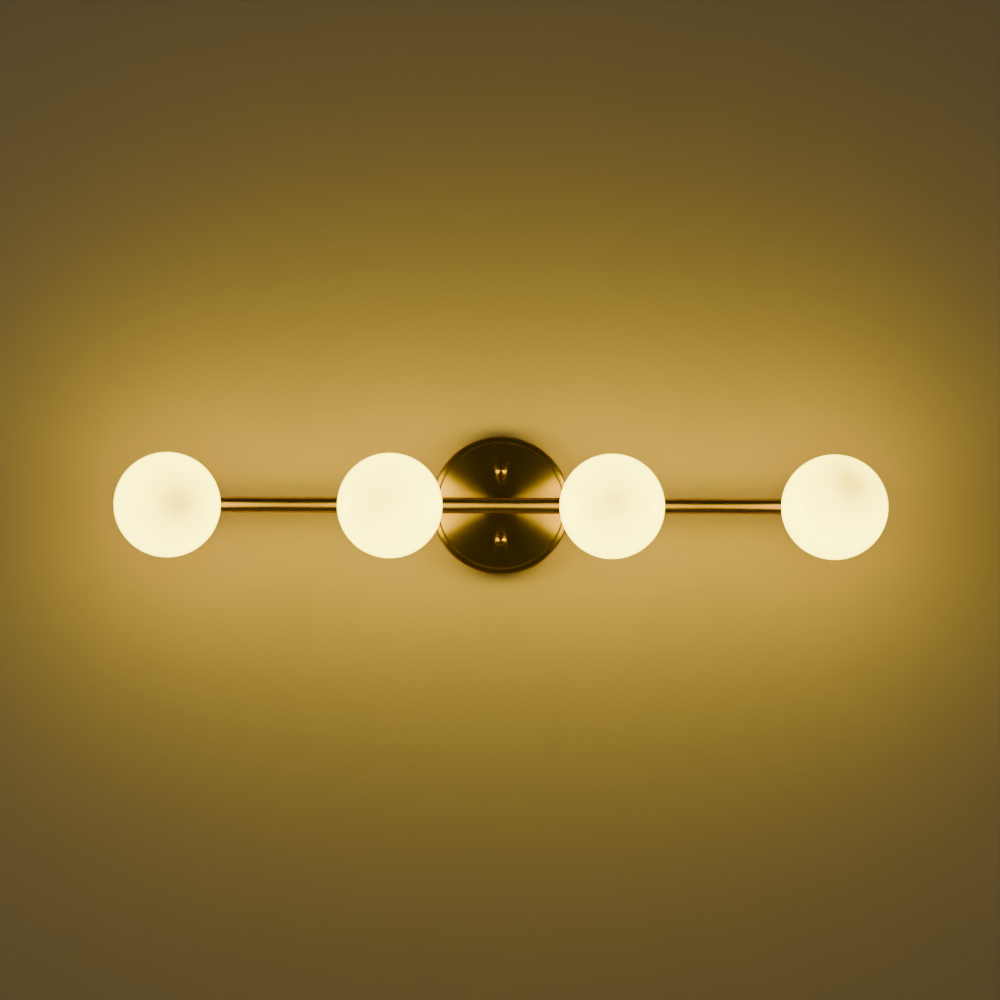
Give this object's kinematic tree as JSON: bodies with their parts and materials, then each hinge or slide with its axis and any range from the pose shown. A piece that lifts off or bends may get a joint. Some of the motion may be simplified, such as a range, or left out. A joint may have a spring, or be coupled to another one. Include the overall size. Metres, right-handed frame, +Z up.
{
  "type": "vanity light bar",
  "caption": "Wall light with round opal glass globes facing forward from a horizontal round brass bar, on a round stepped canopy with domed cap nuts.",
  "frame": {"origin": "centre of the wall bracket's back face, which lies on the wall and in the plane of the canopy's rim", "axes": "+X to the right along the bar as seen from the room, +Y into the wall, +Z up; the globes face -Y"},
  "size_m": [0.7328, 0.17, 0.1396],
  "materials": {
    "brushed_brass": "satin brushed, warm gold",
    "opal_glass": "white opal glass with a smooth, glossy skin",
    "zinc_steel": "zinc plated",
    "white_ceramic": "matt steatite",
    "white_plastic": "fine matt",
    "clear_silicone": "translucent silicone, warm when lit",
    "grey_silicone": "matt silicone rubber",
    "glass_fibre_sleeve": "braided glass-fibre sleeve",
    "ground_green": "green"
  },
  "bodies": {
    "fixture": {"bar_end_cap_left": "brushed_brass", "bar_end_cap_right": "brushed_brass", "bar_tube": "brushed_brass", "canopy": "brushed_brass", "canopy_stud_lower": "zinc_steel", "canopy_stud_upper": "zinc_steel", "cup_post_1": "brushed_brass", "cup_post_2": "brushed_brass", "cup_post_3": "brushed_brass", "cup_post_4": "brushed_brass", "gallery_ring_1": "white_plastic", "gallery_ring_2": "white_plastic", "gallery_ring_3": "white_plastic", "gallery_ring_4": "white_plastic", "ground_lead": "ground_green", "ground_screw": "ground_green", "lamp_cup_1": "brushed_brass", "lamp_cup_2": "brushed_brass", "lamp_cup_3": "brushed_brass", "lamp_cup_4": "brushed_brass", "lamp_lead_1": "glass_fibre_sleeve", "lamp_lead_2": "glass_fibre_sleeve", "lamp_lead_3": "glass_fibre_sleeve", "lamp_lead_4": "glass_fibre_sleeve", "lampholder_1": "white_ceramic", "lampholder_2": "white_ceramic", "lampholder_3": "white_ceramic", "lampholder_4": "white_ceramic", "mounting_bracket": "zinc_steel", "post_nut_1": "zinc_steel", "post_nut_2": "zinc_steel", "post_nut_3": "zinc_steel", "post_nut_4": "zinc_steel", "stem": "brushed_brass", "stem_lock_washer": "zinc_steel", "stem_nut": "zinc_steel", "stud_lock_nut_lower": "zinc_steel", "stud_lock_nut_upper": "zinc_steel", "terminal_block": "white_plastic"},
    "gasket_1": {"globe_gasket_1": "grey_silicone"},
    "globe_1": {"glass_globe_1": "opal_glass"},
    "lamp_1": {"lamp_base_1": "white_ceramic", "lamp_body_1": "clear_silicone"},
    "gasket_2": {"globe_gasket_2": "grey_silicone"},
    "globe_2": {"glass_globe_2": "opal_glass"},
    "lamp_2": {"lamp_base_2": "white_ceramic", "lamp_body_2": "clear_silicone"},
    "gasket_3": {"globe_gasket_3": "grey_silicone"},
    "globe_3": {"glass_globe_3": "opal_glass"},
    "lamp_3": {"lamp_base_3": "white_ceramic", "lamp_body_3": "clear_silicone"},
    "gasket_4": {"globe_gasket_4": "grey_silicone"},
    "globe_4": {"glass_globe_4": "opal_glass"},
    "lamp_4": {"lamp_base_4": "white_ceramic", "lamp_body_4": "clear_silicone"},
    "washer_upper": {"cap_nut_washer_upper": "brushed_brass"},
    "nut_upper": {"cap_nut_upper": "brushed_brass"},
    "washer_lower": {"cap_nut_washer_lower": "brushed_brass"},
    "nut_lower": {"cap_nut_lower": "brushed_brass"}
  },
  "joints": [
    {"name": "globe_1_lift", "type": "slide", "parent": "fixture", "child": "gasket_1", "axis": [0, -1, 0], "range_m": [0, 0.005]},
    {"name": "globe_1_unscrew", "type": "hinge", "parent": "gasket_1", "child": "globe_1", "pos_m": [-0.3165, -0.12, 0], "axis": [0, -1, 0], "range_deg": [0, 450]},
    {"name": "lamp_1_unplug", "type": "slide", "parent": "fixture", "child": "lamp_1", "axis": [0, -1, 0], "range_m": [0, 0.01]},
    {"name": "globe_2_lift", "type": "slide", "parent": "fixture", "child": "gasket_2", "axis": [0, -1, 0], "range_m": [0, 0.005]},
    {"name": "globe_2_unscrew", "type": "hinge", "parent": "gasket_2", "child": "globe_2", "pos_m": [-0.1055, -0.12, 0], "axis": [0, -1, 0], "range_deg": [0, 450]},
    {"name": "lamp_2_unplug", "type": "slide", "parent": "fixture", "child": "lamp_2", "axis": [0, -1, 0], "range_m": [0, 0.01]},
    {"name": "globe_3_lift", "type": "slide", "parent": "fixture", "child": "gasket_3", "axis": [0, -1, 0], "range_m": [0, 0.005]},
    {"name": "globe_3_unscrew", "type": "hinge", "parent": "gasket_3", "child": "globe_3", "pos_m": [0.1055, -0.12, 0], "axis": [0, -1, 0], "range_deg": [0, 450]},
    {"name": "lamp_3_unplug", "type": "slide", "parent": "fixture", "child": "lamp_3", "axis": [0, -1, 0], "range_m": [0, 0.01]},
    {"name": "globe_4_lift", "type": "slide", "parent": "fixture", "child": "gasket_4", "axis": [0, -1, 0], "range_m": [0, 0.005]},
    {"name": "globe_4_unscrew", "type": "hinge", "parent": "gasket_4", "child": "globe_4", "pos_m": [0.3165, -0.12, 0], "axis": [0, -1, 0], "range_deg": [0, 450]},
    {"name": "lamp_4_unplug", "type": "slide", "parent": "fixture", "child": "lamp_4", "axis": [0, -1, 0], "range_m": [0, 0.01]},
    {"name": "cap_nut_upper_lift", "type": "slide", "parent": "fixture", "child": "washer_upper", "axis": [0, -1, 0], "range_m": [0, 0.0077]},
    {"name": "cap_nut_upper_unscrew", "type": "hinge", "parent": "washer_upper", "child": "nut_upper", "pos_m": [0, -0.0226, 0.035], "axis": [0, -1, 0], "range_deg": [0, 3960]},
    {"name": "cap_nut_lower_lift", "type": "slide", "parent": "fixture", "child": "washer_lower", "axis": [0, -1, 0], "range_m": [0, 0.0077]},
    {"name": "cap_nut_lower_unscrew", "type": "hinge", "parent": "washer_lower", "child": "nut_lower", "pos_m": [0, -0.0226, -0.035], "axis": [0, -1, 0], "range_deg": [0, 3960]}
  ],
  "couplings": [
    {"joint": "globe_1_lift", "follows": "globe_1_unscrew", "m_per_rad": 0.00063661},
    {"joint": "globe_2_lift", "follows": "globe_2_unscrew", "m_per_rad": 0.00063661},
    {"joint": "globe_3_lift", "follows": "globe_3_unscrew", "m_per_rad": 0.00063661},
    {"joint": "globe_4_lift", "follows": "globe_4_unscrew", "m_per_rad": 0.00063661},
    {"joint": "cap_nut_upper_lift", "follows": "cap_nut_upper_unscrew", "m_per_rad": 0.0001114},
    {"joint": "cap_nut_lower_lift", "follows": "cap_nut_lower_unscrew", "m_per_rad": 0.0001114}
  ]
}
